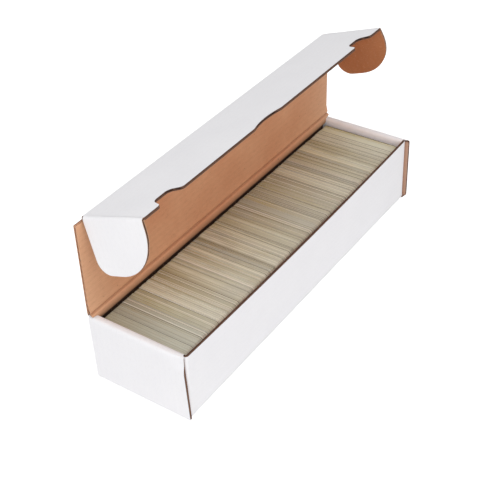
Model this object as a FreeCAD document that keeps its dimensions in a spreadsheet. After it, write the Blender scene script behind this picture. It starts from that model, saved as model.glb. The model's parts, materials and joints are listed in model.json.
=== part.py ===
# One-piece die-cut card storage box, folded from single-wall corrugated board, with its row of cards.
# Frame: X along the box, +Y towards the rear (hinged) wall, +Z up; the origin is the middle of the underside.
import FreeCAD, Part
import os
import Sketcher

os.makedirs("parts", exist_ok=True)
doc = FreeCAD.newDocument("card_box")

# ------------------------------------------------ driving sizes, millimetres and degrees
SIZES = {
    "box_length": 393.0,       # outside, over both end panels
    "box_width": 101.0,        # outside, over front and rear walls
    "wall_height": 72.0,       # underside to the top of the front wall and of the rolled ends
    "board": 2.4,              # thickness of the corrugated board
    "fold_round": 2.2,         # outside radius of the tray's folded corners
    "roll_round": 1.2,         # radius where each end panel rolls down inside
    "bead_round": 1.15,        # radius of the ears' fold beads
    "ply_gap": 0.1,            # air between boards that lie against each other
    "crease_gap": 0.3,         # running gap beside each crease of the lid
    "lid_gap": 2.3,            # shut lid above the front wall and the ends
    "flap_gap": 0.3,           # tucked flap to the front wall, ears to the end panels
    "flap_depth": 70.5,        # lid fold to the free edge of the tuck flap
    "notch_inset": 34.1,       # end of the flap to the middle of each notch in its free edge
    "notch_mouth": 29.0,       # notch width at the free edge
    "notch_floor": 19.0,       # notch width at its floor
    "notch_depth": 12.0,
    "notch_round": 4.5,        # radius of the notch corners
    "scallop_offset": 15.0,    # the shallow scallop sits this far left of the middle
    "scallop_width": 42.0,
    "scallop_depth": 4.0,
    "ear_depth": 51.0,         # flap to the far edge of each ear
    "ear_setback": 1.0,        # ear cut back from the lid fold and from the free edge
    "ear_heel": 13.0,          # ear corner beside the lid fold
    "ear_toe": 43.0,           # large ear corner beside the free edge
    "left_ear_splay": 5.0,     # ears hang this far past a right angle from the flap
    "right_ear_splay": 14.0,
    "lid_angle": 89.0,         # lid opened from shut
    "flap_angle": 70.0,        # flap folded from flat
    "dust_depth": 42.0,        # corner flaps between the plies of each end
    "dust_taper": 6.0,         # corner flaps narrow by this much at their free edge
    "tab_width": 22.0,         # lock tabs under each inner end panel
    "tab_offset": 24.0,        # middle of the box to the middle of each tab
    "tab_short": 0.4,          # tabs end this far above the underside
    "slot_play": 0.3,          # slot beyond the tab, all round
    "card_play": 0.3,          # cards to the tucked flap and ears
    "card_room": 4.3,          # air behind the cards; the rest of the width is one card's long edge
    "head_room": 6.1,          # top of the cards below the top of the walls
    "pack_count": 6.0,
    "pack_gap": 0.1,
}
sheet = doc.addObject("Spreadsheet::Sheet", "sizes")
for row, (alias, size) in enumerate(SIZES.items(), start=1):
    sheet.set("A%d" % row, alias)
    sheet.set("B%d" % row, str(size))
    sheet.setAlias("B%d" % row, alias)
doc.recompute()

# ------------------------------------------------ lengths worked out from the sizes
HALF_L = "sizes.box_length / 2"
HALF_W = "sizes.box_width / 2"
HALF_T = "sizes.board / 2"
INSIDE_Y = "(sizes.box_width / 2 - sizes.board)"  # inner face of front and rear wall
DUST_X = "(sizes.box_length / 2 - sizes.board - sizes.ply_gap)"  # outer face of the corner flaps
WALL_X = "(%s - sizes.board)" % DUST_X  # ends of the front and rear wall
INNER_X = "(%s - sizes.ply_gap)" % WALL_X  # outer face of the inner end panel
INSIDE_X = "(%s - sizes.board)" % INNER_X  # inner face of the inner end panel
UNDER_ROLL = "(sizes.wall_height - sizes.board)"
HINGE_Y = "(sizes.box_width / 2 - sizes.board / 2)"
HINGE_Z = "(sizes.wall_height + sizes.lid_gap + sizes.board / 2)"
REAR_TOP = "(sizes.wall_height + sizes.lid_gap - sizes.crease_gap)"
LID_SPAN = "(sizes.box_width - 2 * sizes.board - sizes.flap_gap)"  # hinge crease to flap crease
PANEL_START = "(sizes.board / 2 + sizes.crease_gap)"  # crease axis to the panel's edge
LID_TURN = "(180 - sizes.lid_angle)"
FLAP_TURN = "(180 - sizes.lid_angle + sizes.flap_angle)"
FOLD_Y = "(%s - %s * cos(sizes.lid_angle * 1 deg))" % (HINGE_Y, LID_SPAN)
FOLD_Z = "(%s + %s * sin(sizes.lid_angle * 1 deg))" % (HINGE_Z, LID_SPAN)
EAR_X = "(%s - sizes.flap_gap - sizes.board / 2)" % INSIDE_X  # middle of each ear's thickness
FLAP_X = "(%s - %s)" % (EAR_X, PANEL_START)  # half the flap's length
PACK_X = "(%s - sizes.board / 2 - sizes.card_play)" % EAR_X  # half the card row's length
CARD_FRONT = "(-%s + sizes.flap_gap + sizes.board + sizes.card_play)" % INSIDE_Y
CARD_REAR = "(%s - sizes.card_room)" % INSIDE_Y
CARD_TOP = "(sizes.wall_height - sizes.head_room)"
NOTCH_X = "(%s - sizes.notch_inset)" % FLAP_X  # middle of each notch

SIDES = (("left", -1), ("right", 1))
WALLS = (("front", -1), ("rear", 1))


def number(expression):
    return float(sheet.evalExpression(expression))


def signed(sign, expression):
    return expression if sign > 0 else "-(%s)" % expression


def place(obj, x="0", y="0", z="0", turn=None):
    """Binds an object's position, and its turn about X, to the sheet."""
    if turn:
        about_x = FreeCAD.Rotation(FreeCAD.Vector(1, 0, 0), number(turn))
        obj.Placement = FreeCAD.Placement(FreeCAD.Vector(), about_x)
        obj.setExpression("Placement.Rotation.Angle", turn)
    for axis, expression in zip("xyz", (x, y, z)):
        obj.setExpression("Placement.Base." + axis, expression)


def block(label, low, high):
    """A plain board: a box between two corners, each given as three expressions."""
    box = doc.addObject("Part::Box", label)
    for side, a, b in zip(("Length", "Width", "Height"), low, high):
        box.setExpression(side, "(%s) - (%s)" % (b, a))
    place(box, *low)
    return box


def sketch_on(body, role, label):
    sketch = body.newObject("Sketcher::SketchObject", label)
    plane = [f for f in body.Origin.OriginFeatures if f.Role == role][0]
    sketch.AttachmentSupport = [(plane, "")]
    sketch.MapMode = "FlatFace"
    return sketch


def draw(sketch, points):
    """A closed outline whose corners are pairs of expressions, each bound to the sheet."""
    spots = [FreeCAD.Vector(number(x), number(y), 0) for x, y in points]
    count = len(spots)
    first = sketch.GeometryCount
    for i in range(count):
        sketch.addGeometry(Part.LineSegment(spots[i], spots[(i + 1) % count]), False)
    for i in range(count):
        sketch.addConstraint(Sketcher.Constraint("Coincident", first + i, 2, first + (i + 1) % count, 1))
    for i, pair in enumerate(points):
        for kind, expression in zip(("DistanceX", "DistanceY"), pair):
            where = Sketcher.Constraint(kind, -1, 1, first + i, 1, number(expression))
            sketch.setExpression("Constraints[%d]" % sketch.addConstraint(where), expression)


def panel(label, role, points, thickness="sizes.board"):
    """A board padded from an outline, half its thickness to each side of the sketch plane."""
    body = doc.addObject("PartDesign::Body", label)
    sketch = sketch_on(body, role, label + "_outline")
    draw(sketch, points)
    pad = body.newObject("PartDesign::Pad", label + "_pad")
    pad.Profile = sketch
    pad.setExpression("Length", thickness)
    pad.Midplane = True
    doc.recompute()
    return body


def cut(body, role, points, label):
    """Cuts an outline right through a panel and checks that it removed something."""
    before = body.Shape.Volume
    sketch = sketch_on(body, role, label + "_outline")
    draw(sketch, points)
    pocket = body.newObject("PartDesign::Pocket", label)
    pocket.Profile = sketch
    pocket.Type = "ThroughAll"
    pocket.Midplane = True
    doc.recompute()
    if body.Shape.Volume >= before:
        raise RuntimeError("%s cuts nothing" % label)


def round_corners(body, role, corners, radius, label):
    """Fillets the edges that cross the board's thickness at the given outline corners."""
    u_axis, v_axis, across = {"XY_Plane": (0, 1, 2), "YZ_Plane": (1, 2, 0), "XZ_Plane": (0, 2, 1)}[role]
    base = body.Tip
    names = []
    for x, y in corners:
        spot = number(x), number(y)
        for i, edge in enumerate(base.Shape.Edges, start=1):
            ends = [vertex.Point for vertex in edge.Vertexes]
            miss = max(abs(p[u_axis] - spot[0]) + abs(p[v_axis] - spot[1]) for p in ends)
            if miss < 1e-3 and abs(ends[0][across] - ends[-1][across]) > 1e-3:
                names.append("Edge%d" % i)
    if len(names) != len(corners):
        raise RuntimeError("%s found %d of %d corners" % (label, len(names), len(corners)))
    fillet = body.newObject("PartDesign::Fillet", label)
    fillet.Base = (base, names)
    fillet.setExpression("Radius", radius)
    doc.recompute()


def crease_rod(label, length, x, y, z):
    """A crease of the lid: a round bead of folded board along X, from its left end."""
    bead = doc.addObject("Part::Cylinder", label)
    bead.setExpression("Radius", HALF_T)
    bead.setExpression("Height", length)
    bead.Placement = FreeCAD.Placement(FreeCAD.Vector(), FreeCAD.Rotation(FreeCAD.Vector(0, 1, 0), 90))
    for side, expression in zip("xyz", (x, y, z)):
        bead.setExpression("Placement.Base." + side, expression)


def fold_corner(label, role, inner, signs, length, z="0"):
    """A folded corner of the tray: fills the square between two panels and rounds its outside."""
    u, v = inner
    far_u = "%s %s sizes.board" % (u, "+" if signs[0] > 0 else "-")
    far_v = "%s %s sizes.board" % (v, "+" if signs[1] > 0 else "-")
    corner = panel(label, role, [(u, v), (far_u, v), (far_u, far_v), (u, far_v)], length)
    round_corners(corner, role, [(far_u, far_v)], "sizes.fold_round", label + "_round")
    place(corner, z=z)


# ------------------------------------------------ tray
def build_bottom():
    end = "(sizes.box_length / 2 - sizes.board)"
    corners = [(signed(a, end), signed(b, INSIDE_Y)) for a, b in ((-1, -1), (1, -1), (1, 1), (-1, 1))]
    bottom = panel("bottom_panel", "XY_Plane", corners)
    place(bottom, z=HALF_T)
    for name, side in SIDES:
        for wall, way in WALLS:
            low_x = "(%s - sizes.board - sizes.slot_play)" % INNER_X
            high_x = "(%s + sizes.slot_play)" % INNER_X
            near = "(sizes.tab_offset - sizes.tab_width / 2 - sizes.slot_play)"
            far = "(sizes.tab_offset + sizes.tab_width / 2 + sizes.slot_play)"
            spots = [(signed(side, u), signed(way, v))
                     for u, v in ((low_x, near), (high_x, near), (high_x, far), (low_x, far))]
            cut(bottom, "XY_Plane", spots, "%s_%s_slot" % (name, wall))


def build_walls():
    block("front_wall", ("-" + WALL_X, "-" + HALF_W, "sizes.board"),
          (WALL_X, "-" + INSIDE_Y, "sizes.wall_height"))
    block("rear_wall", ("-" + WALL_X, INSIDE_Y, "sizes.board"), (WALL_X, HALF_W, REAR_TOP))
    for wall, way in WALLS:
        fold_corner(wall + "_bottom_crease", "YZ_Plane", (signed(way, INSIDE_Y), "sizes.board"), (way, -1),
                    "2 * " + WALL_X)
    for name, side in SIDES:
        edge = signed(side, "(sizes.box_length / 2 - sizes.board)")
        fold_corner(name + "_bottom_crease", "XZ_Plane", (edge, "sizes.board"), (side, -1), "2 * " + INSIDE_Y)
        for wall, way in WALLS:
            fold_corner("%s_%s_corner_crease" % (wall, name), "XY_Plane",
                        (signed(side, WALL_X), signed(way, INSIDE_Y)), (side, way),
                        "%s - sizes.ply_gap - sizes.board" % UNDER_ROLL,
                        z="(%s - sizes.ply_gap + sizes.board) / 2" % UNDER_ROLL)
            build_dust_flap(name, side, wall, way)


def build_dust_flap(name, side, wall, way):
    free = "(%s - sizes.dust_depth)" % INSIDE_Y
    low, high = "sizes.board", "(%s - sizes.ply_gap)" % UNDER_ROLL
    taper = "sizes.dust_taper"
    spots = [(signed(way, INSIDE_Y), low), (signed(way, free), "%s + %s" % (low, taper)),
             (signed(way, free), "%s - %s" % (high, taper)), (signed(way, INSIDE_Y), high)]
    flap = panel("%s_%s_dust_flap" % (wall, name), "YZ_Plane", spots)
    place(flap, x=signed(side, "(%s - %s)" % (DUST_X, HALF_T)))


def build_ends():
    for name, side in SIDES:
        outer_low = "sizes.box_length / 2 - sizes.board"
        low, high = sorted((signed(side, outer_low), signed(side, HALF_L)), key=number)
        block(name + "_end_outer", (low, "-" + HALF_W, "sizes.board"), (high, HALF_W, UNDER_ROLL))
        build_end_roll(name, side)
        build_end_inner(name, side)


def build_end_roll(name, side):
    """The strip that rolls the end panel over the corner flaps; it clears both long walls."""
    spots = [(signed(side, u), v) for u, v in ((INSIDE_X, UNDER_ROLL), (HALF_L, UNDER_ROLL),
                                               (HALF_L, "sizes.wall_height"), (INSIDE_X, "sizes.wall_height"))]
    roll = panel(name + "_end_roll", "XZ_Plane", spots, "sizes.box_width")
    round_corners(roll, "XZ_Plane", [spots[2]], "sizes.fold_round", name + "_roll_outer_round")
    round_corners(roll, "XZ_Plane", [spots[3]], "sizes.roll_round", name + "_roll_inner_round")
    for wall, way in WALLS:
        reach = "(%s + sizes.ply_gap)" % WALL_X
        inside = "(%s - sizes.ply_gap)" % INSIDE_Y
        beyond_x = "(%s - sizes.board)" % INSIDE_X
        beyond_y = "sizes.box_width"
        cut(roll, "XY_Plane", [(signed(side, u), signed(way, v)) for u, v in (
            (beyond_x, inside), (reach, inside), (reach, beyond_y), (beyond_x, beyond_y))],
            "%s_roll_%s_relief" % (name, wall))


def build_end_inner(name, side):
    edge = "(%s - sizes.ply_gap)" % INSIDE_Y
    tab_low = "(sizes.tab_offset - sizes.tab_width / 2)"
    tab_high = "(sizes.tab_offset + sizes.tab_width / 2)"
    foot, toe = "sizes.board", "sizes.tab_short"
    half = [(tab_low, foot), (tab_low, toe), (tab_high, toe), (tab_high, foot),
            (edge, foot), (edge, UNDER_ROLL)]
    spots = half + [("-" + u, v) for u, v in reversed(half)]
    inner = panel(name + "_end_inner", "YZ_Plane", spots)
    place(inner, x=signed(side, "(%s - %s)" % (INNER_X, HALF_T)))


# ------------------------------------------------ lid, tuck flap and ears, built flat and then turned
def build_lid():
    crease_rod("lid_crease", "sizes.box_length", "-" + HALF_L, HINGE_Y, HINGE_Z)
    near, far = PANEL_START, "(%s - %s)" % (LID_SPAN, PANEL_START)
    lid = panel("lid_panel", "XY_Plane",
                [("-" + HALF_L, near), (HALF_L, near), (HALF_L, far), ("-" + HALF_L, far)])
    place(lid, y=HINGE_Y, z=HINGE_Z, turn=LID_TURN)
    crease_rod("flap_crease", "2 * " + FLAP_X, "-" + FLAP_X, FOLD_Y, FOLD_Z)


def build_flap():
    edge = "sizes.flap_depth"
    floor = "(sizes.flap_depth - sizes.notch_depth)"
    mouth, base = "sizes.notch_mouth / 2", "sizes.notch_floor / 2"
    flap = panel("tuck_flap", "XY_Plane",
                 [("-" + FLAP_X, PANEL_START), (FLAP_X, PANEL_START), (FLAP_X, edge), ("-" + FLAP_X, edge)])
    for name, side in SIDES:
        middle = signed(side, NOTCH_X)
        spots = [("%s - %s" % (middle, base), floor), ("%s + %s" % (middle, base), floor),
                 ("%s + %s" % (middle, mouth), edge), ("%s - %s" % (middle, mouth), edge)]
        cut(flap, "XY_Plane", spots, name + "_notch")
        round_corners(flap, "XY_Plane", spots, "sizes.notch_round", name + "_notch_round")
    cut_scallop(flap)
    place(flap, y=FOLD_Y, z=FOLD_Z, turn=FLAP_TURN)


def cut_scallop(flap):
    """A shallow round bite out of the free edge, from a circle whose chord is the scallop's width."""
    radius = "((sizes.scallop_width / 2) ^ 2 + sizes.scallop_depth ^ 2) / (2 * sizes.scallop_depth)"
    centre = ("-sizes.scallop_offset", "sizes.flap_depth - sizes.scallop_depth + " + radius)
    before = flap.Shape.Volume
    sketch = sketch_on(flap, "XY_Plane", "scallop_outline")
    spot = FreeCAD.Vector(number(centre[0]), number(centre[1]), 0)
    sketch.addGeometry(Part.Circle(spot, FreeCAD.Vector(0, 0, 1), number(radius)), False)
    sketch.setExpression("Constraints[%d]" % sketch.addConstraint(
        Sketcher.Constraint("Radius", 0, number(radius))), radius)
    for kind, expression in zip(("DistanceX", "DistanceY"), centre):
        where = Sketcher.Constraint(kind, -1, 1, 0, 3, number(expression))
        sketch.setExpression("Constraints[%d]" % sketch.addConstraint(where), expression)
    pocket = flap.newObject("PartDesign::Pocket", "scallop")
    pocket.Profile = sketch
    pocket.Type = "ThroughAll"
    pocket.Midplane = True
    doc.recompute()
    if flap.Shape.Volume >= before:
        raise RuntimeError("scallop cuts nothing")


def build_ears():
    start = "(%s + sizes.ear_setback)" % HALF_T
    end = "(sizes.flap_depth - sizes.ear_setback)"
    for name, side in SIDES:
        spots = [(start, PANEL_START), (end, PANEL_START), (end, "sizes.ear_depth"), (start, "sizes.ear_depth")]
        ear = panel(name + "_ear", "YZ_Plane", spots)
        round_corners(ear, "YZ_Plane", [spots[2]], "sizes.ear_toe", name + "_ear_toe_round")
        round_corners(ear, "YZ_Plane", [spots[3]], "sizes.ear_heel", name + "_ear_heel_round")
        place(ear, signed(side, EAR_X), FOLD_Y, FOLD_Z)
        splay = signed(side, "sizes.%s_ear_splay" % name)
        ear.setExpression("Placement.Rotation", "rotation(vector(1; 0; 0); %s) * rotation(vector(0; 1; 0); %s)"
                          % (FLAP_TURN, splay))
        build_ear_crease(name, side, start, end)


def build_ear_crease(name, side, start, end):
    """The bead between flap and ear: a round pad along the flap's depth, turned with the flap."""
    middle = "(%s + %s) / 2" % (start, end)
    square = [(signed(a, HALF_T), signed(b, HALF_T)) for a, b in ((-1, -1), (1, -1), (1, 1), (-1, 1))]
    bead = panel(name + "_ear_crease", "XZ_Plane", square, "%s - %s" % (end, start))
    round_corners(bead, "XZ_Plane", square, "sizes.bead_round", name + "_ear_crease_round")
    place(bead, signed(side, EAR_X), "%s + %s * cos(%s * 1 deg)" % (FOLD_Y, middle, FLAP_TURN),
          "%s + %s * sin(%s * 1 deg)" % (FOLD_Z, middle, FLAP_TURN), FLAP_TURN)


# ------------------------------------------------ cards
def build_packs():
    count = int(number("sizes.pack_count"))
    pitch = "((2 * %s + sizes.pack_gap) / sizes.pack_count)" % PACK_X
    for i in range(count):
        low = "-%s + %d * %s" % (PACK_X, i, pitch)
        block("card_pack_%d" % (i + 1), (low, CARD_FRONT, "sizes.board"),
              ("%s + %s - sizes.pack_gap" % (low, pitch), CARD_REAR, CARD_TOP))


build_bottom()
build_walls()
build_ends()
build_lid()
build_flap()
build_ears()
build_packs()
doc.recompute()

# ------------------------------------------------ check everything, then write one file per piece
for obj in doc.Objects:
    if "Invalid" in obj.State or "Error" in obj.State:
        raise RuntimeError("%s did not recompute: %s" % (obj.Label, obj.State))
SOLIDS = ("PartDesign::Body", "Part::Box", "Part::Cylinder")
pieces = [obj for obj in doc.Objects if obj.TypeId in SOLIDS]
for piece in pieces:
    if piece.Shape.isNull() or not piece.Shape.isValid() or len(piece.Shape.Solids) != 1:
        raise RuntimeError("%s has no single valid solid" % piece.Label)
for piece in pieces:
    piece.Shape.exportStep("parts/%s.step" % piece.Label)
    box = piece.Shape.BoundBox
    print("%-28s %9.1f mm3  x %.1f..%.1f  y %.1f..%.1f  z %.1f..%.1f" % (
        piece.Label, piece.Shape.Volume, box.XMin, box.XMax, box.YMin, box.YMax, box.ZMin, box.ZMax))
print(len(pieces), "pieces")
print("crease axes: hinge y %.4f z %.4f, fold y %.4f z %.4f, ears x %.4f" % tuple(
    number(line) for line in (HINGE_Y, HINGE_Z, FOLD_Y, FOLD_Z, EAR_X)))
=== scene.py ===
import bpy
import bmesh
import json
import math
import random
from mathutils import Matrix, Vector


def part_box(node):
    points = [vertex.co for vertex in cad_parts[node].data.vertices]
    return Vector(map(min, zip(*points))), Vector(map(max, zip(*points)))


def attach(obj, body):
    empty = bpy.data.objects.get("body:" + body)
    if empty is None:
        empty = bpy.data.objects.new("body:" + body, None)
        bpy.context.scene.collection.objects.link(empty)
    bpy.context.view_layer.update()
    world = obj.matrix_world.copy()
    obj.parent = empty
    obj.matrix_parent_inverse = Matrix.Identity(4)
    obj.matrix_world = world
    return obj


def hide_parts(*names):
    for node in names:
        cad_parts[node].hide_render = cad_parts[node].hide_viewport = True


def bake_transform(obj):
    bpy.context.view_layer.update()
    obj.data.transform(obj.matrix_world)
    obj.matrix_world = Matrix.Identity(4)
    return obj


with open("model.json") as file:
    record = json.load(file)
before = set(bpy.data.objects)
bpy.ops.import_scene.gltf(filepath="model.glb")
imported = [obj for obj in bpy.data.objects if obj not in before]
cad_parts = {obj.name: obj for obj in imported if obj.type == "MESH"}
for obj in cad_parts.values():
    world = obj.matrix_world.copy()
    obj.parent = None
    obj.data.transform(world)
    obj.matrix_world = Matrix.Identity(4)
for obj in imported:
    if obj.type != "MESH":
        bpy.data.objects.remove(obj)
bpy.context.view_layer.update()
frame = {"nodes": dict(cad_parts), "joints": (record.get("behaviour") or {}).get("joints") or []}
# lengths are in millimetres, except inside the shaders, which work in metres
mm = 0.001


def lowOf(node):
    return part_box(node)[0] / mm


def highOf(node):
    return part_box(node)[1] / mm


def middleOf(node):
    return (lowOf(node) + highOf(node)) / 2


def jointNamed(name):
    return next(joint for joint in frame["joints"] if joint["name"] == name)


def smooth(value):
    value = min(1.0, max(0.0, value))
    return value * value * (3 - 2 * value)


# wraps a node's output, so that shader maths reads as plain arithmetic
class Signal:
    def __init__(self, shader, socket):
        self.shader = shader
        self.socket = socket

    def maths(self, operation, *values):
        return self.shader.add("ShaderNodeMath", {"operation": operation}, dict(enumerate(values)))

    def __add__(self, other):
        return self.maths("ADD", self, other)

    def __radd__(self, other):
        return self.maths("ADD", other, self)

    def __sub__(self, other):
        return self.maths("SUBTRACT", self, other)

    def __rsub__(self, other):
        return self.maths("SUBTRACT", other, self)

    def __mul__(self, other):
        return self.maths("MULTIPLY", self, other)

    def __rmul__(self, other):
        return self.maths("MULTIPLY", other, self)

    def sine(self):
        return self.maths("SINE", self)

    def above(self, edge, soft):
        return self.shader.add("ShaderNodeMapRange", {"interpolation_type": "SMOOTHSTEP"},
                               {"Value": self, "From Min": edge - soft, "From Max": edge + soft})


class Shader:
    def __init__(self, owner, surface="Principled BSDF"):
        owner.use_nodes = True
        self.owner = owner
        self.tree = owner.node_tree
        self.surface = self.tree.nodes[surface]

    def add(self, kind, settings=None, inputs=None, output=0):
        node = self.tree.nodes.new(kind)
        for key, value in (settings or {}).items():
            setattr(node, key, value)
        for key, value in (inputs or {}).items():
            self.feed(node.inputs[key], value)
        return Signal(self, node.outputs[output])

    def feed(self, socket, value):
        if isinstance(value, Signal):
            self.tree.links.new(value.socket, socket)
        elif isinstance(value, tuple) and len(value) == 3 and socket.type == "RGBA":
            socket.default_value = (*value, 1.0)
        else:
            socket.default_value = value

    def blank(self):
        return self.add("ShaderNodeUVMap", {"uv_map": "blank"})

    def place(self):
        return self.add("ShaderNodeTexCoord", output="Object")

    def part(self, vector, axis):
        return self.add("ShaderNodeSeparateXYZ", None, {"Vector": vector}, axis)

    def attribute(self, name):
        return self.add("ShaderNodeAttribute", {"attribute_name": name}, None, "Fac")

    def stretch(self, vector, x, y, z=1.0):
        return self.add("ShaderNodeVectorMath", {"operation": "MULTIPLY"}, {0: vector, 1: (x, y, z)})

    def grain(self, vector, scale, detail=3.0, roughness=0.55):
        return self.add("ShaderNodeTexNoise", None,
                        {"Vector": vector, "Scale": scale, "Detail": detail, "Roughness": roughness})

    def ribs(self, blank):
        return (self.part(blank, "Y") * fluteTurns).sine() * 0.5 + 0.5

    def blend(self, amount, first, second):
        values = {"Factor": amount, "A": first, "B": second}
        return self.add("ShaderNodeMix", {"data_type": "RGBA"}, values, "Result")

    def finish(self, colour, roughness, height=None, depth=None):
        self.feed(self.surface.inputs["Base Color"], colour)
        self.feed(self.surface.inputs["Roughness"], roughness)
        if height is not None:
            bump = self.add("ShaderNodeBump", None, {"Height": height, "Distance": depth})
            self.feed(self.surface.inputs["Normal"], bump)
        return self.owner


# screen colours, 0 to 255, as the linear values that shaders take
def linear(tone):
    return tuple((c / 255 / 12.92) if c / 255 < 0.04045 else ((c / 255 + 0.055) / 1.055) ** 2.4 for c in tone)


# corrugated board: its plies and waves, how far a fold squeezes it, and the spacing of its points
board = {"liner": 0.3, "medium": 0.16, "flute": 6.2, "waveRoom": 0.03, "waveSteps": 8, "pinch": 0.16,
         "foldRadius": 1.25, "foldSteps": 6, "longStep": 9.0, "step": 5.0, "shortStep": 3.0, "cutReach": 3.0}
board["thick"] = highOf("front_wall").y - lowOf("front_wall").y
hinge = middleOf("lid_crease").yz
fluteTurns = 2 * math.pi / (board["flute"] * mm)

white = {"low": (241, 240, 243), "high": (249, 248, 250), "cloudGrain": 22.0, "cloudRelief": 0.3,
         "fibre": (229, 226, 227), "fibreGrain": (260.0, 900.0), "fibreFrom": (0.62, 0.12), "fibreShare": 0.25,
         "fibreRelief": 0.12, "rib": (233, 233, 239), "ribShare": 0.07, "ribRelief": 0.3,
         "roughness": 0.6, "relief": 0.00005}


def makeWhiteLiner(name, onBlank=True):
    shader = Shader(bpy.data.materials.new(name))
    solid = shader.place()
    where = shader.blank() if onBlank else solid
    clouds = shader.grain(solid, white["cloudGrain"], 4.0)
    fibres = shader.grain(shader.stretch(where, *white["fibreGrain"]), 1.0)
    colour = shader.blend(clouds, linear(white["low"]), linear(white["high"]))
    amount = fibres.above(*white["fibreFrom"]) * white["fibreShare"]
    colour = shader.blend(amount, colour, linear(white["fibre"]))
    height = fibres * white["fibreRelief"] + clouds * white["cloudRelief"]
    if onBlank:
        ribs = shader.ribs(where)
        colour = shader.blend(ribs * white["ribShare"], colour, linear(white["rib"]))
        height = height + ribs * white["ribRelief"]
    return shader.finish(colour, white["roughness"], height, white["relief"])


# the ears' darker, more saturated pair of kraft tones is painted shade for their kraft side, which lies in the
# shade of the flap and lid
kraft = {"low": (214, 150, 110), "high": (226, 168, 128), "earShadeLow": (176, 110, 68), "earShadeHigh": (190, 126, 84),
         "paleLow": (178, 140, 118), "paleHigh": (194, 156, 134), "cloudGrain": 16.0, "cloudFrom": (0.5, 0.24),
         "fibre": (166, 112, 78), "fibreGrain": (150.0, 1300.0), "fibreNoise": (4.0, 0.6),
         "fibreFrom": (0.60, 0.12), "fibreShare": 0.30, "fibreRelief": 0.5,
         "strand": (228, 182, 144), "strandGrain": (1100.0, 300.0), "strandNoise": (3.0, 0.6),
         "strandFrom": (0.63, 0.08), "strandShare": 0.28, "strandRelief": 0.3,
         "speck": (120, 82, 58), "speckGrain": (420.0, 420.0), "speckNoise": (2.0, 0.4),
         "speckFrom": (0.74, 0.03), "speckShare": 0.5,
         "rib": (186, 132, 96), "ribShare": 0.10, "ribRelief": 0.6, "roughness": 0.78, "relief": 0.00007}

# lid and walls are lighter towards both ends, and painted shade darkens them along the hinge crease and in the gap
# under its roll
tintAndShade = {"endTint": (232, 192, 156), "endTintFrom": (0.026, 0.013), "endTintShare": 0.35,
        "creaseShade": (138, 90, 62), "creaseShadeFrom": (1.1, 1.0), "creaseShadeShare": 0.4,
        "gapShade": (34, 18, 8), "gapShadeBehind": (0.03, 0.005), "gapShadeAbove": (0.046, 0.010),
        "gapShadeBelow": (0.0692, 0.0062), "gapShadeShare": 0.92}


def makeKraftLiner(name, low="low", high="high", onBlank=True, withTintAndShade=True):
    shader = Shader(bpy.data.materials.new(name))
    solid = shader.place()
    where = shader.blank() if onBlank else solid
    clouds = shader.grain(solid, kraft["cloudGrain"], 5.0)
    colour = shader.blend(clouds.above(*kraft["cloudFrom"]), linear(kraft[low]), linear(kraft[high]))
    if withTintAndShade:
        x, y, z = (shader.part(solid, axis) for axis in ("X", "Y", "Z"))
        rise = (z - hinge.y * mm) * (1 / mm)
        # painted shade: the second and third masks darken the kraft along the hinge crease and in the gap behind
        # the cards under the roll; the first lightens it towards both ends
        signs = {"endTint": (x * x).above(*tintAndShade["endTintFrom"]),
                 "creaseShade": 1 - (rise * rise).above(*tintAndShade["creaseShadeFrom"]),
                 "gapShade": (y.above(*tintAndShade["gapShadeBehind"]) * z.above(*tintAndShade["gapShadeAbove"])
                            * (1 - z.above(*tintAndShade["gapShadeBelow"])))}
        for sign, amount in signs.items():
            colour = shader.blend(amount * tintAndShade[sign + "Share"], colour, linear(tintAndShade[sign]))
    grains = {}
    for grain in ("fibre", "strand", "speck"):
        stretched = shader.stretch(where, *kraft[grain + "Grain"])
        grains[grain] = shader.grain(stretched, 1.0, *kraft[grain + "Noise"])
        amount = grains[grain].above(*kraft[grain + "From"]) * kraft[grain + "Share"]
        colour = shader.blend(amount, colour, linear(kraft[grain]))
    height = grains["fibre"] * kraft["fibreRelief"] + grains["strand"] * kraft["strandRelief"]
    if onBlank:
        ribs = shader.ribs(where)
        colour = shader.blend(ribs * kraft["ribShare"], colour, linear(kraft["rib"]))
        height = height + ribs * kraft["ribRelief"]
    return shader.finish(colour, kraft["roughness"], height, kraft["relief"])


# a cut along the flutes is painted dark, its brown darkened into painted shade of the hollow between its liners;
# one across them shows pale fibre
cuts = {"closed": ((74, 58, 56), (112, 88, 80)), "open": ((178, 140, 114), (222, 188, 160)),
        "medium": ((112, 80, 62), (148, 108, 84)), "grain": 900.0, "roughness": 0.85, "relief": 0.0001}


def makeCut(name, tones):
    shader = Shader(bpy.data.materials.new(name))
    fibres = shader.grain(shader.place(), cuts["grain"], 3.0, 0.6)
    colour = shader.blend(fibres, linear(tones[0]), linear(tones[1]))
    return shader.finish(colour, cuts["roughness"], fibres, cuts["relief"])


# one pale tint, with its slope and share, is painted light on the card tops: lighter towards the front wall, darker
# towards the hinge under the lid
stock = {"dull": (180, 168, 116), "middle": (196, 191, 150), "light": (232, 229, 196), "grey": (182, 184, 166),
         "yellow": (204, 192, 104), "olive": (186, 174, 106), "smoke": (168, 163, 146), "paintedLight": (230, 233, 222),
         "dark": (96, 86, 64), "pale": (242, 238, 222), "middleFrom": (0.3, 0.3), "lightFrom": (0.8, 0.25),
         "yellowFrom": (1.6, 0.3), "greyFrom": (0.5, 0.45), "paleFrom": (0.75, 0.2), "darkFrom": (0.2, 0.25),
         "stainGrain": (60.0, 16.0, 4.0), "stainFrom": (0.58, 0.09), "stainShare": 0.6,
         "patchGrain": (34.0, 24.0, 4.0), "patchFrom": (0.60, 0.09), "patchShare": 0.4,
         "streakGrain": (1500.0, 12.0, 20.0), "streakFrom": (0.5, 0.2), "streakShare": 0.25,
         "paintedLightSlope": 11.0, "paintedLightShare": 0.55, "roughness": 0.55, "relief": 0.00004}


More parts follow.
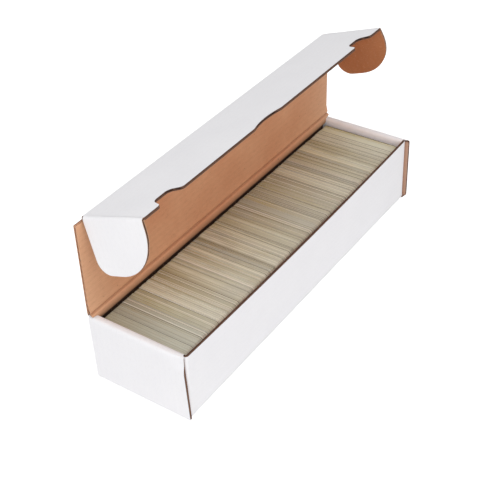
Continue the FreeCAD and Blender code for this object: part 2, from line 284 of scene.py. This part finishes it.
# tone runs from -1 grey over 0 dull and 1 light to 2 yellow, edge from 0 dark over a half to 1 pale
def makeCardStock(name):
    shader = Shader(bpy.data.materials.new(name))
    where = shader.place()
    tone = shader.attribute("tone")
    edge = shader.attribute("edge")
    # painted light: the card tops grow lighter towards the front wall and darker towards the hinge, where the lid
    # shades them
    frontLit = 0.5 - shader.part(where, "Y") * stock["paintedLightSlope"]
    stains = shader.grain(shader.stretch(where, *stock["stainGrain"]), 1.0, 3.0)
    patches = shader.grain(shader.stretch(where, *stock["patchGrain"]), 1.3, 2.0)
    streaks = shader.grain(shader.stretch(where, *stock["streakGrain"]), 1.0, 2.0)
    colour = linear(stock["dull"])
    for amount, tint in ((tone.above(*stock["middleFrom"]), "middle"),
                         (tone.above(*stock["lightFrom"]), "light"),
                         (stains.above(*stock["stainFrom"]) * stock["stainShare"], "olive"),
                         (patches.above(*stock["patchFrom"]) * stock["patchShare"], "smoke"),
                         (tone.above(*stock["yellowFrom"]), "yellow"),
                         ((0 - tone).above(*stock["greyFrom"]), "grey"),
                         (frontLit * stock["paintedLightShare"], "paintedLight"),
                         (streaks.above(*stock["streakFrom"]) * stock["streakShare"], "smoke"),
                         (edge.above(*stock["paleFrom"]), "pale"),
                         ((0.5 - edge).above(*stock["darkFrom"]), "dark")):
        colour = shader.blend(amount, colour, linear(stock[tint]))
    return shader.finish(colour, stock["roughness"], streaks, stock["relief"])


# the broad sides of the cards, which carry no print
faces = {"paper": (226, 224, 218), "cloudGrain": 30.0, "cloudFrom": (0.5, 0.3), "worn": (206, 202, 192),
         "scuffGrain": (90.0, 90.0, 700.0), "scuffFrom": (0.66, 0.06), "scuffShare": 0.3, "roughness": 0.4,
         "relief": 0.00003}


def makeCardFace(name):
    shader = Shader(bpy.data.materials.new(name))
    where = shader.place()
    clouds = shader.grain(where, faces["cloudGrain"], 4.0)
    scuffs = shader.grain(shader.stretch(where, *faces["scuffGrain"]), 1.0, 3.0)
    colour = shader.blend(clouds.above(*faces["cloudFrom"]), linear(faces["paper"]), linear(faces["worn"]))
    amount = scuffs.above(*faces["scuffFrom"]) * faces["scuffShare"]
    colour = shader.blend(amount, colour, linear(faces["worn"]))
    return shader.finish(colour, faces["roughness"], clouds, faces["relief"])


whiteLiner = makeWhiteLiner("whiteLiner")
kraftLiner = makeKraftLiner("kraftLiner")
# painted shade: a darker copy of the kraft for the ears
earKraftShade = makeKraftLiner("earKraftShade", "earShadeLow", "earShadeHigh", withTintAndShade=False)
paleKraft = makeKraftLiner("paleKraft", "paleLow", "paleHigh", withTintAndShade=False)
# the dark tone of the cut along the flutes is painted shade of the hollow between the liners
closedCut = makeCut("closedCut", cuts["closed"])
openCut = makeCut("openCut", cuts["open"])
mediumPaper = makeCut("mediumPaper", cuts["medium"])
boardStock = (whiteLiner, kraftLiner, closedCut, openCut, mediumPaper)
whiteSide, kraftSide, closedSide, openSide, mediumSide = range(5)
plainWhite = makeWhiteLiner("whiteLinerPlain", False)
plainKraft = makeKraftLiner("kraftLinerPlain", onBlank=False, withTintAndShade=False)
print("materials made")


def spread(low, high, step):
    count = max(1, round((high - low) / step))
    return [low + (high - low) * i / count for i in range(count + 1)]


def addSheet(bm, along, across, low, thick, faceUp, faceDown, fluted):
    rows, columns = len(along) - 1, len(across) - 1
    made = bmesh.ops.create_grid(bm, x_segments=rows, y_segments=columns, size=0.5)["verts"]
    under = list({face for vert in made for face in vert.link_faces})
    for vert in made:
        vert.co = (along[round((vert.co.x + 0.5) * rows)], across[round((vert.co.y + 0.5) * columns)], low)
    grown = bmesh.ops.extrude_face_region(bm, geom=under)["geom"]
    top = {item for item in grown if isinstance(item, bmesh.types.BMVert)}
    bmesh.ops.translate(bm, vec=(0, 0, thick), verts=list(top))
    ends = (along[0], along[-1]) if fluted == "along" else (across[0], across[-1])
    axis = 0 if fluted == "along" else 1
    for face in {face for vert in [*made, *top] for face in vert.link_faces}:
        if all(vert in top for vert in face.verts):
            face.material_index = faceUp
        elif any(all(abs(vert.co[axis] - end) < 1e-4 for vert in face.verts) for end in ends):
            face.material_index = openSide
        else:
            face.material_index = closedSide
    for face in under:
        face.material_index = faceDown
    return [*made, *top]


# a flat blank: outer liner, inner liner and the waved medium between them
def flatBoard(along, across, fluted):
    bm = bmesh.new()
    half, liner, paper = board["thick"] / 2, board["liner"], board["medium"]
    addSheet(bm, along, across, half - liner, liner, whiteSide, mediumSide, fluted)
    addSheet(bm, along, across, -half, liner, mediumSide, kraftSide, fluted)
    step = board["flute"] / board["waveSteps"]
    if fluted == "along":
        across = spread(across[0], across[-1], step)
    else:
        along = spread(along[0], along[-1], step)
    wave = addSheet(bm, along, across, -paper / 2, paper, mediumSide, mediumSide, fluted)
    amplitude = half - liner - paper / 2 - board["waveRoom"]
    for vert in wave:
        phase = vert.co.y if fluted == "along" else vert.co.x
        vert.co.z += amplitude * math.sin(2 * math.pi * phase / board["flute"])
    bmesh.ops.recalc_face_normals(bm, faces=bm.faces)
    return bm


def roundedOutline(corners, segments=10):
    bm = bmesh.new()
    bm.faces.new([bm.verts.new((x, y, -board["cutReach"])) for x, y, _ in corners])
    for x, y, radius in corners:
        if radius:
            vert = min(bm.verts, key=lambda v: (v.co.xy - Vector((x, y))).length)
            bmesh.ops.bevel(bm, geom=[vert], offset=radius, offset_type="OFFSET", affect="VERTICES",
                            segments=segments, profile=0.5, material=-1)
    grown = bmesh.ops.extrude_face_region(bm, geom=list(bm.faces))["geom"]
    top = [item for item in grown if isinstance(item, bmesh.types.BMVert)]
    bmesh.ops.translate(bm, vec=(0, 0, 2 * board["cutReach"]), verts=top)
    bmesh.ops.recalc_face_normals(bm, faces=bm.faces)
    return bm


def boxCutter(x, y):
    low, high = zip(x, y, (-board["cutReach"], board["cutReach"]))
    bm = bmesh.new()
    bmesh.ops.create_cube(bm, size=1.0)
    bmesh.ops.scale(bm, vec=[b - a for a, b in zip(low, high)], verts=bm.verts)
    bmesh.ops.translate(bm, vec=[(a + b) / 2 for a, b in zip(low, high)], verts=bm.verts)
    return bm


def cutBoard(bm, cutter, operation, cutSide=closedSide):
    blank = bpy.data.objects.new("blank", bpy.data.meshes.new("blank"))
    knife = bpy.data.objects.new("knife", bpy.data.meshes.new("knife"))
    for face in cutter.faces:
        face.material_index = cutSide
    for item, source in ((blank, bm), (knife, cutter)):
        for material in boardStock:
            item.data.materials.append(material)
        source.to_mesh(item.data)
        bpy.context.scene.collection.objects.link(item)
    step = blank.modifiers.new("cut", "BOOLEAN")
    step.object = knife
    step.operation = operation
    step.solver = "EXACT"
    step.material_mode = "INDEX"
    bpy.context.view_layer.update()
    cut = bpy.data.meshes.new_from_object(blank.evaluated_get(bpy.context.evaluated_depsgraph_get()))
    bm.clear()
    bm.from_mesh(cut)
    for item in (blank, knife):
        bpy.data.objects.remove(item)
    bpy.data.meshes.remove(cut)
    cutter.free()


# a path is made of runs (length, 0) and left turns (radius, degrees)
def makePath(start, heading, legs):
    path, spot, angle, travelled = [], Vector(start), math.radians(heading), 0.0
    for size, degrees in legs:
        turn = math.radians(degrees)
        length = size * turn if degrees else size
        path.append({"begin": travelled, "length": length, "spot": spot.copy(), "angle": angle, "size": size,
                     "turn": turn})
        ahead = Vector((math.cos(angle), math.sin(angle)))
        if degrees:
            centre = spot + Vector((-ahead.y, ahead.x)) * size
            angle += turn
            spot = centre + Vector((math.sin(angle), -math.cos(angle))) * size
        else:
            spot = spot + ahead * size
        travelled += length
    return path


def onPath(path, along, height):
    leg = next((leg for leg in path if along <= leg["begin"] + leg["length"] + 1e-6), path[-1])
    run = along - leg["begin"]
    ahead = Vector((math.cos(leg["angle"]), math.sin(leg["angle"])))
    right = Vector((ahead.y, -ahead.x))
    if not leg["turn"]:
        return leg["spot"] + ahead * run + right * height
    swept = leg["angle"] + run / leg["size"]
    outward = Vector((math.sin(swept), -math.cos(swept)))
    return leg["spot"] - right * leg["size"] + outward * (leg["size"] + height * (1 - board["pinch"]))


def pathLength(path):
    return path[-1]["begin"] + path[-1]["length"]


def pathStops(path, step):
    stops = [0.0]
    for leg in path:
        count = board["foldSteps"] if leg["turn"] else max(1, round(leg["length"] / step))
        stops += [leg["begin"] + leg["length"] * (i + 1) / count for i in range(count)]
    return stops


def foldBoard(bm, place, fluted):
    layer = bm.loops.layers.uv.new("blank")
    for face in bm.faces:
        for loop in face.loops:
            along, across = loop.vert.co.x * mm, loop.vert.co.y * mm
            loop[layer].uv = (along, across) if fluted == "along" else (across, along)
    for vert in bm.verts:
        vert.co = place(vert.co.x, vert.co.y, vert.co.z) * mm
    bmesh.ops.recalc_face_normals(bm, faces=bm.faces)


def finishPiece(bm, name, materials=boardStock, smoothAngle=32):
    mesh = bpy.data.meshes.new(name)
    bm.to_mesh(mesh)
    bm.free()
    for material in materials:
        mesh.materials.append(material)
    mesh.shade_smooth()
    mesh.set_sharp_from_angle(angle=math.radians(smoothAngle))
    piece = bpy.data.objects.new(name, mesh)
    bpy.context.scene.collection.objects.link(piece)
    return piece


# the score along the hinge and the soft roll under it, on the kraft side of the rear wall
crease = {"scoreDepth": 0.8, "scoreWidth": 1.1, "stand": 1.7, "standReach": 9.0, "rollFrom": 0.5,
          "rollDepth": 3.9, "rollReach": 6.5, "rollReturn": 7.0, "trayBend": (1.4, 0.2), "lidBend": (0.3, 1.9),
          "trayRows": 15.0, "lidRows": 3.0, "rowStep": 0.5, "nextRow": 0.6}


def scored(height, distance):
    if height > 0:
        return height
    return height * (1 - crease["scoreDepth"] * math.exp(-(distance / crease["scoreWidth"]) ** 2))


# the kraft side takes the whole of a bulge, the white side stays flat
def kraftShare(height):
    return 0.5 - height / board["thick"]


# how far the roll stands into the tray, a quarter round that tucks back underneath
def rollAt(depth):
    if depth <= 0:
        return crease["stand"]
    if depth < crease["rollReach"]:
        rest = crease["rollDepth"] - crease["stand"]
        return crease["stand"] + rest * math.sqrt(1 - (1 - depth / crease["rollReach"]) ** 2)
    return crease["rollDepth"] * (1 - smooth((depth - crease["rollReach"]) / crease["rollReturn"]))


# front wall, bottom and rear wall are one strip folded twice; the rear wall's top spreads over the ends
tray = {"bow": 3.3, "bowAt": -40.0, "bowSpan": 231.0, "bowPower": 1.2, "rim": 7.0, "rimStep": 1.4,
        "turnFrom": 190.2, "turnRadius": 1.8, "turnStep": 0.15, "turnFoot": 2.0, "turnRise": 8.0,
        "slotLow": 188.8, "slotHigh": 195.0, "slotNear": 12.7, "slotFar": 35.3,
        "spread": 4.7, "spreadFrom": 180.0, "spreadAbove": 0.3, "spreadRise": 0.5}


# how far the cards push the front wall's top outwards
def bowAt(x):
    return tray["bow"] * max(0.0, 1 - ((x - tray["bowAt"]) / tray["bowSpan"]) ** 2)


# the front wall's ends turn inwards into the corner flaps
def turnedCorner(across, height, y, share):
    radius, start = tray["turnRadius"], tray["turnFrom"]
    reach = (highOf("front_wall").x - start) * (1 - share) + radius * math.pi / 2 * share
    run = (abs(across) - start) * reach / (highOf("front_wall").x - start)
    if run <= 0:
        return across, y
    angle = run / radius * share
    inward = (1 - math.cos(angle)) * (radius + height)
    along = math.sin(angle) * (radius + height) + run * (1 - share)
    return math.copysign(start + along, across), y + inward


def makeTrayStrip():
    radius = board["foldRadius"]
    wallY, top, floorZ = -middleOf("front_wall").y, highOf("front_wall").z, board["thick"] / 2
    rollTop = highOf("left_end_roll").z
    halfLength = highOf("front_wall").x
    path = makePath((-wallY, top), -90, [
        (top - floorZ - radius, 0), (radius, 90), (2 * wallY - 2 * radius, 0), (radius, 90),
        (hinge.y - floorZ - radius, 0)])
    end = pathLength(path)
    rows = [stop for stop in pathStops(path, board["step"]) if stop < end - crease["trayRows"]]
    rows += spread(end - crease["trayRows"], end, crease["rowStep"])
    rim = halfLength - tray["rim"]
    turn = tray["turnFrom"]
    nearRim = spread(-halfLength, -turn, tray["turnStep"])[:-1] + spread(-turn, -rim, tray["rimStep"])[:-1]
    columns = nearRim + spread(-rim, rim, board["longStep"]) + [-x for x in reversed(nearRim)]
    bm = flatBoard(rows, columns, "across")
    middle = path[2]["begin"] + path[2]["length"] / 2
    for side in (-1, 1):
        for way in (-1, 1):
            xs = sorted((side * tray["slotLow"], side * tray["slotHigh"]))
            ys = sorted((middle + way * tray["slotNear"], middle + way * tray["slotFar"]))
            cutBoard(bm, boxCutter(ys, xs), "DIFFERENCE")

    def place(along, across, height):
        y, z = onPath(path, along, scored(height, end - along))
        if along < path[1]["begin"]:
            across, y = turnedCorner(across, height, y, smooth((z - tray["turnFoot"]) / tray["turnRise"]))
            y -= bowAt(across) * (max(z, 0.0) / top) ** tray["bowPower"]
        if along > path[4]["begin"]:
            y -= rollAt(hinge.y - z - crease["rollFrom"]) * kraftShare(height)
            share = smooth((z - rollTop - tray["spreadAbove"]) / tray["spreadRise"])
            share *= smooth((abs(across) - tray["spreadFrom"]) / (halfLength - tray["spreadFrom"]))
            across += math.copysign(tray["spread"] * share, across)
        return Vector((across, y, z))

    foldBoard(bm, place, "across")
    strip = finishPiece(bm, "trayStrip")
    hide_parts("bottom_panel", "front_wall", "rear_wall", "front_bottom_crease", "rear_bottom_crease",
                "front_left_corner_crease", "front_right_corner_crease")
    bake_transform(strip)


# outer panel, roll over the corner flaps, inner panel with its lock tabs; both outer panels stand a little proud
ends = {"tabNear": 13.0, "tabFar": 35.0, "tabSide": 60.0, "tabPast": 5.0, "footRoom": 0.05, "rollShare": 0.4,
        "proudFrom": 16.0, "rightFlare": -0.6, "rightProudTop": 3.2, "rightProudFoot": 2.7,
        "leftProudFoot": 2.2, "leftProudFade": 1.2, "leftPinch": 0.75, "leftPinchAt": (34.0, 14.0),
        "leftPinchFrom": 54.0, "leftPinchFull": 66.0, "leftPinchRoom": 0.1}


def makeEnd(name, side):
    radius, thick = board["foldRadius"], board["thick"]
    floorZ, topZ = thick / 2, highOf(name + "_end_roll").z - thick / 2
    outerX, innerX = abs(middleOf(name + "_end_outer").x), abs(middleOf(name + "_end_inner").x)
    startX = highOf("front_wall").x + ends["footRoom"]
    outerHalf, innerHalf = highOf(name + "_end_outer").y, highOf(name + "_end_inner").y
    tabEnd = lowOf(name + "_end_inner").z
    path = makePath((startX, floorZ), 0, [
        (outerX - radius - startX, 0), (radius, 90), (topZ - floorZ - 2 * radius, 0), (radius, 90),
        (outerX - innerX - 2 * radius, 0), (radius, 90), (topZ - radius - tabEnd, 0)])
    columns = spread(-outerHalf, outerHalf, board["shortStep"])
    bm = flatBoard(pathStops(path, board["shortStep"]), columns, "along")
    ratio = outerHalf / innerHalf
    foot, past = pathLength(path) - (thick - tabEnd), pathLength(path) + ends["tabPast"]
    near, far, beside = ends["tabNear"] * ratio, ends["tabFar"] * ratio, ends["tabSide"]
    for gap in ((-beside, -far), (-near, near), (far, beside)):
        cutBoard(bm, boxCutter((foot, past), gap), "DIFFERENCE", openSide)
    rollStart, rollEnd = path[3]["begin"], path[4]["begin"] + path[4]["length"] * ends["rollShare"]
    crossing = -lowOf("front_left_corner_crease").x
    pinchAt, pinchReach = ends["leftPinchAt"]

    def place(along, across, height):
        x, z = onPath(path, along, height)
        front = smooth((-across - ends["proudFrom"]) / (outerHalf - ends["proudFrom"]))
        outer = 1 - smooth((along - rollStart) / (rollEnd - rollStart))
        if along < path[2]["begin"]:
            across *= 1 / ratio + (1 - 1 / ratio) * max(0.0, (along - path[1]["begin"]) / path[1]["length"])
        elif along > rollEnd:
            across /= ratio
        rise = z / (topZ + thick / 2)
        if side > 0:
            proud = ends["rightProudFoot"] + (ends["rightProudTop"] - ends["rightProudFoot"]) * rise
            across -= front * outer * proud
            x += front * outer * ends["rightFlare"] * rise
        else:
            across -= front * outer * ends["leftProudFoot"] * max(0.0, 1 - rise * ends["leftProudFade"])
            pinch = smooth((z - ends["leftPinchFrom"]) / (ends["leftPinchFull"] - ends["leftPinchFrom"]))
            pinch *= smooth((-across - pinchAt) / pinchReach) * ends["leftPinch"]
            x -= max(0.0, x - crossing - ends["leftPinchRoom"]) * pinch
        return Vector((side * x, across, z))

    foldBoard(bm, place, "along")
    end = finishPiece(bm, name + "EndRoll", (whiteLiner, paleKraft, *boardStock[2:]))
    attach(end, "tray")
    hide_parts(name + "_bottom_crease", name + "_end_outer", name + "_end_roll", name + "_end_inner")


# the lid stands on the hinge crease; the flap and the ears hang from its front crease
lid = {"flapStart": 2.6, "sag": 0.7}
fold = middleOf("flap_crease").yz
lidWay = (fold - hinge).normalized()
lidAngle = math.degrees(math.atan2(lidWay.y, lidWay.x))
flapWay = Vector(jointNamed("right_ear_fold")["axis"]).yz.normalized()
flapTurn = math.degrees(math.atan2(flapWay.y, flapWay.x)) - lidAngle
flapUp = Vector((flapWay.y, -flapWay.x))


def makeLid():
    halfLength = highOf("lid_crease").x
    length = (fold - hinge).length - lid["flapStart"]
    path = makePath(hinge, lidAngle, [(length, 0)])
    rows = spread(0, crease["lidRows"], crease["rowStep"])
    rows += spread(crease["lidRows"] + crease["nextRow"], length, board["step"])
    bm = flatBoard(rows, spread(-halfLength, halfLength, board["longStep"]), "across")

    def place(along, across, height):
        y, z = onPath(path, along, scored(height, along))
        y -= crease["stand"] * (1 - smooth(along / crease["standReach"])) * kraftShare(height)
        y += lid["sag"] * math.sin(math.pi * along / length) * math.cos(math.pi * across / halfLength / 2)
        return Vector((across, y, z))

    foldBoard(bm, place, "across")
    panel = finishPiece(bm, "lidBoard", (whiteLiner, kraftLiner, closedCut, openCut, kraftLiner))
    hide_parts("lid_panel", "lid_crease")
    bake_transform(panel)


# depth, notches and scallop of the tuck flap; margin is how far the blank reaches past its cut
flap = {"depth": 70.5, "notchInset": 34.1, "notchMouth": 29.0, "notchFloor": 19.0, "notchDepth": 12.0,
        "notchRound": 4.5, "mouthRound": 2.7, "scallopX": -15.0, "scallopWidth": 42.0, "scallopDepth": 4.0,
        "scallopSteps": 4, "foldRadius": 1.4, "bendReach": 1.1, "margin": 4.0, "behind": 5.0}


def flapOutline(half, edge):
    mouth, base, wide = flap["notchMouth"] / 2, flap["notchFloor"] / 2, flap["scallopWidth"] / 2
    floor = edge - flap["notchDepth"]
    corners = [(-flap["behind"], -half, 0), (-flap["behind"], half, 0), (edge, half, 0)]

    def addNotch(middle):
        corners.extend([(edge, middle + mouth, flap["mouthRound"]), (floor, middle + base, flap["notchRound"]),
                        (floor, middle - base, flap["notchRound"]), (edge, middle - mouth, flap["mouthRound"])])

    addNotch(half - flap["notchInset"])
    for i in range(2 * flap["scallopSteps"] + 1):
        t = 1 - i / flap["scallopSteps"]
        corners.append((edge - flap["scallopDepth"] * (1 - t * t), flap["scallopX"] + wide * t, 0))
    addNotch(flap["notchInset"] - half)
    corners.append((edge, -half, 0))
    return corners


def makeFlap():
    halfLength = highOf("flap_crease").x
    radius = flap["foldRadius"]
    reach = radius * math.tan(math.radians(flapTurn / 2))
    path = makePath(fold - lidWay * lid["flapStart"], lidAngle, [
        (lid["flapStart"] - reach, 0), (radius, flapTurn), (flap["depth"] - reach + flap["margin"], 0)])
    bm = flatBoard(pathStops(path, board["step"]), spread(-halfLength, halfLength, board["longStep"]), "across")
    edge = path[2]["begin"] + flap["depth"] - reach
    cutBoard(bm, roundedOutline(flapOutline(halfLength, edge)), "INTERSECT")

    def place(along, across, height):
        return Vector((across, *onPath(path, along, height)))

    foldBoard(bm, place, "across")
    panel = finishPiece(bm, "flapBoard")
    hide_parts("tuck_flap", "flap_crease")
    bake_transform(panel)


# near and far are the ear's sides along the flap, heel and toe the roundings of its lower corners
ear = {"depth": 51.0, "near": 2.2, "far": 69.5, "heel": 13.0, "toe": 43.0, "arcSteps": 16, "root": 0.6,
       "behind": 4, "tipRoom": 0.01, "bendAcross": 1.2, "bendDown": 1.4}


def makeEar(name, side):
    radius, root = board["foldRadius"], ear["root"]
    joint = jointNamed(name + "_ear_fold")
    foldX, halfLength = abs(joint["pos_m"][0]) / mm, highOf("flap_crease").x
    turn = 90 + joint["range_deg"][0]
    reach = radius * math.tan(math.radians(turn / 2))
    path = makePath((root - halfLength, 0), 180, [
        (root + foldX - halfLength - reach, 0), (radius, turn), (ear["depth"] - reach, 0)])
    columns = spread(ear["near"], ear["far"], board["shortStep"])
    bm = flatBoard(pathStops(path, board["shortStep"]), columns, "along")
    tip, back = pathLength(path) - ear["tipRoom"], -ear["behind"]
    outline = [(back, ear["near"], 0), (tip, ear["near"], ear["heel"]), (tip, ear["far"], ear["toe"]),
               (back, ear["far"], 0)]
    cutBoard(bm, roundedOutline(outline, ear["arcSteps"]), "INTERSECT", openSide)

    def place(along, across, height):
        x, down = onPath(path, along, height)
        return Vector((-side * x, *(fold + flapWay * across + flapUp * down)))

    foldBoard(bm, place, "along")
    # the ears' kraft side takes the darker kraft copy, painted shade
    materials = (whiteLiner, earKraftShade, openCut, openCut, mediumPaper)
    panel = finishPiece(bm, name + "EarBoard", materials)
    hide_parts(name + "_ear", name + "_ear_crease")
    side * (foldX - ear["bendAcross"]) * mm
    side * foldX * mm
    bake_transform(panel)


# single cards on edge; moods are the usual tone of each pack, endRoom the play at the ends of the row
cards = {"packs": 6, "seed": 40, "pitch": 0.5, "thick": 0.47, "corner": 3.0, "cornerSteps": 3, "endRoom": 0.6,
         "slip": 0.15, "rise": 0.3, "drop": 0.5, "unevenness": (-0.2, 0.12), "smoothAngle": 20,
         "moods": (0.75, 0.50, 0.50, 0.05, 0.28, 0.95), "moodSpread": 0.6, "greyMood": -0.6,
         "groups": (6, 10, 14, 20, 28, 36), "runs": (1, 1, 2, 2, 3, 4, 6), "runSpread": 0.25,
         "toneSpread": 0.06, "edge": 0.5, "edgeSpread": (-0.12, 0.08), "darkShare": 0.09, "darkEdge": (0.12, 0.28),
         "paleFrom": 0.90, "paleEdge": (0.75, 1.0)}
# the first cards form a plain grey block, the last ones a yellow block that ends in dark cards
plainRow = {"count": 42, "fade": 22, "tones": (-1.0, -0.45), "lift": 0.4, "darkShare": 0.04, "paleFrom": 0.99}
lastRow = {"count": 7, "tone": 2.0, "darkCount": 2, "darkTone": 0.0, "darkEdge": 0.15}


def makeCard(low, high):
    bm = bmesh.new()
    bmesh.ops.create_cube(bm, size=1.0)
    bmesh.ops.scale(bm, vec=(cards["thick"], high.y - low.y, high.z - low.z), verts=bm.verts)
    crossing = [edge for edge in bm.edges if abs(edge.verts[0].co.x - edge.verts[1].co.x) > 0.1]
    bmesh.ops.bevel(bm, geom=crossing, offset=cards["corner"], offset_type="OFFSET", affect="EDGES",
                    segments=cards["cornerSteps"], profile=0.5, material=-1)
    bmesh.ops.translate(bm, vec=(0, (low.y + high.y) / 2, (low.z + high.z) / 2), verts=bm.verts)
    for face in bm.faces:
        face.material_index = 1 if abs(face.normal.x) > 0.5 else 0
    return bm


def makePack(index):
    dice = random.Random(cards["seed"] + index)
    isFirst, isLast = index == 1, index == cards["packs"]
    low, high = lowOf("card_pack_%d" % index), highOf("card_pack_%d" % index)
    single = bpy.data.meshes.new("card")
    card = makeCard(low, high)
    card.to_mesh(single)
    card.free()
    bm = bmesh.new()
    toneLayer = bm.verts.layers.float.new("tone")
    edgeLayer = bm.verts.layers.float.new("edge")
    count = int((high.x - low.x) / cards["pitch"])
    start = low.x + (cards["endRoom"] if isFirst else 0.0)
    stop = high.x - (cards["endRoom"] if isLast else 0.0)
    group, groupLeft, tone, runLeft, lift = 0.0, 0, 0.0, 0, 0.0
    for i in range(count):
        isPlain = isFirst and i < plainRow["count"]
        if groupLeft <= 0:
            groupLeft = dice.choice(cards["groups"])
            group = cards["moods"][index - 1] + dice.uniform(-1, 1) * cards["moodSpread"]
            group = dice.choice((group, group, group, group, cards["greyMood"]))
        if runLeft <= 0:
            runLeft = dice.choice(cards["runs"])
            tone = group + dice.uniform(-cards["runSpread"], cards["runSpread"])
            if dice.random() > (i - plainRow["count"]) / plainRow["fade"] and isFirst:
                tone = dice.uniform(*plainRow["tones"])
            lift = dice.uniform(-cards["drop"], cards["rise"]) * (plainRow["lift"] if isPlain else 1.0)
        groupLeft -= 1
        runLeft -= 1
        chance = dice.random()
        shares = plainRow if isPlain else cards
        edge = cards["edge"] + dice.uniform(*cards["edgeSpread"])
        if chance < shares["darkShare"]:
            edge = dice.uniform(*cards["darkEdge"])
        elif chance > shares["paleFrom"]:
            edge = dice.uniform(*cards["paleEdge"])
        if isLast and i >= count - lastRow["darkCount"]:
            tone, edge = lastRow["darkTone"], lastRow["darkEdge"]
        elif isLast and i >= count - lastRow["count"]:
            tone, edge = lastRow["tone"], cards["edge"]
        known = set(bm.verts)
        bm.from_mesh(single)
        new = [vert for vert in bm.verts if vert not in known]
        x = start + (i + 0.5) * (stop - start) / count
        y = dice.uniform(-cards["slip"], cards["slip"])
        z = min(cards["rise"], lift + dice.uniform(*cards["unevenness"]))
        bmesh.ops.translate(bm, vec=(x, y, z), verts=new)
        for vert in new:
            vert[toneLayer] = tone + dice.uniform(-cards["toneSpread"], cards["toneSpread"])
            vert[edgeLayer] = edge
    bpy.data.meshes.remove(single)
    bmesh.ops.scale(bm, vec=(mm, mm, mm), verts=bm.verts)
    pack = finishPiece(bm, "cardPack%d" % index, (cardStock, cardFace), cards["smoothAngle"])
    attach(pack, "card_pack_%d_body" % index)
    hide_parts("card_pack_%d" % index)


makeTrayStrip()
print("tray strip made")
for name, side in (("left", -1), ("right", 1)):
    makeEnd(name, side)
print("ends made")
makeLid()
makeFlap()
for name, side in (("left", -1), ("right", 1)):
    makeEar(name, side)
print("lid, flap and ears made")
cardStock = makeCardStock("cardStock")
cardFace = makeCardFace("cardFace")
for index in range(1, cards["packs"] + 1):
    makePack(index)
print("cards made")

# corner creases and corner flaps keep their own shape
for nodeName, node in frame["nodes"].items():
    if "corner_crease" in nodeName or "dust_flap" in nodeName:
        node.data.materials.clear()
        node.data.materials.append(plainKraft if "dust_flap" in nodeName else plainWhite)


camera = {"spot": (-660.0, -458.0, 653.0), "azimuth": -53.53, "elevation": 37.0, "roll": -3.24, "lens": 78.1,
          "sensor": 36, "clipEnd": 50}


def makeCamera():
    turn, tilt, roll = (math.radians(camera[key]) for key in ("azimuth", "elevation", "roll"))
    view = Vector((-math.sin(turn) * math.cos(tilt), math.cos(turn) * math.cos(tilt), -math.sin(tilt)))
    level = Vector((math.cos(turn), math.sin(turn), 0))
    above = level.cross(view)
    right = level * math.cos(roll) + above * math.sin(roll)
    top = above * math.cos(roll) - level * math.sin(roll)
    data = bpy.data.cameras.new("camera")
    data.sensor_width = camera["sensor"]
    data.lens = camera["lens"]
    data.clip_end = camera["clipEnd"]
    item = bpy.data.objects.new("camera", data)
    bpy.context.scene.collection.objects.link(item)
    turned = Matrix((right, top, -view)).transposed()
    item.matrix_world = Matrix.Translation(Vector(camera["spot"]) * mm) @ turned.to_4x4()
    bpy.context.scene.camera = item


# lamps, floor and world are in metres
lamps = {"softTop": {"spot": (-0.5, -0.5, 1.6), "size": 1.4, "power": 8.1},
         "softFront": {"spot": (-0.9, -1.4, 0.75), "size": 1.2, "power": 5.5},
         "softLeft": {"spot": (-1.7, -0.1, 0.8), "size": 1.2, "power": 4.2}}
stage = {"world": 0.60, "seenWorld": 1.0, "aim": (0, 0, 0.05), "floorSize": 4.0, "floorZ": -0.0004,
         "floorTone": (0.85, 0.85, 0.85), "floorRoughness": 0.9, "floorGlow": (0.55, 0.55, 0.55)}


def makeLamp(name, spot, size, power):
    data = bpy.data.lights.new(name, "AREA")
    data.size = size
    data.energy = power
    item = bpy.data.objects.new(name, data)
    bpy.context.scene.collection.objects.link(item)
    item.location = spot
    item.rotation_euler = (Vector(stage["aim"]) - Vector(spot)).to_track_quat("-Z", "Y").to_euler()


# the camera sees a white world, the box is lit by a dimmer one
def makeWorld():
    world = bpy.data.worlds.new("world")
    bpy.context.scene.world = world
    shader = Shader(world, "Background")
    seen = shader.add("ShaderNodeLightPath", output="Is Camera Ray")
    strength = shader.add("ShaderNodeMapRange", None,
                          {"Value": seen, "To Min": stage["world"], "To Max": stage["seenWorld"]})
    shader.feed(shader.surface.inputs["Color"], (1.0, 1.0, 1.0))
    shader.feed(shader.surface.inputs["Strength"], strength)


# the floor glows for the camera alone, so that it turns white and keeps the box's shadow faint
def makeFloor():
    bm = bmesh.new()
    bmesh.ops.create_grid(bm, x_segments=1, y_segments=1, size=stage["floorSize"])
    bmesh.ops.translate(bm, vec=(0, 0, stage["floorZ"]), verts=bm.verts)
    mesh = bpy.data.meshes.new("floor")
    bm.to_mesh(mesh)
    bm.free()
    floor = bpy.data.objects.new("floor", mesh)
    bpy.context.scene.collection.objects.link(floor)
    shader = Shader(bpy.data.materials.new("floorWhite"))
    seen, mirrored = (shader.add("ShaderNodeLightPath", output="Is %s Ray" % kind) for kind in ("Camera", "Glossy"))
    glow = shader.blend(seen + mirrored, (0.0, 0.0, 0.0), stage["floorGlow"])
    shader.feed(shader.surface.inputs["Emission Color"], glow)
    shader.surface.inputs["Emission Strength"].default_value = 1.0
    mesh.materials.append(shader.finish(stage["floorTone"], stage["floorRoughness"]))


makeCamera()
makeFloor()
makeWorld()
for name, lamp in lamps.items():
    makeLamp(name, **lamp)
bpy.context.scene.view_settings.view_transform = "Standard"
print("stage made")
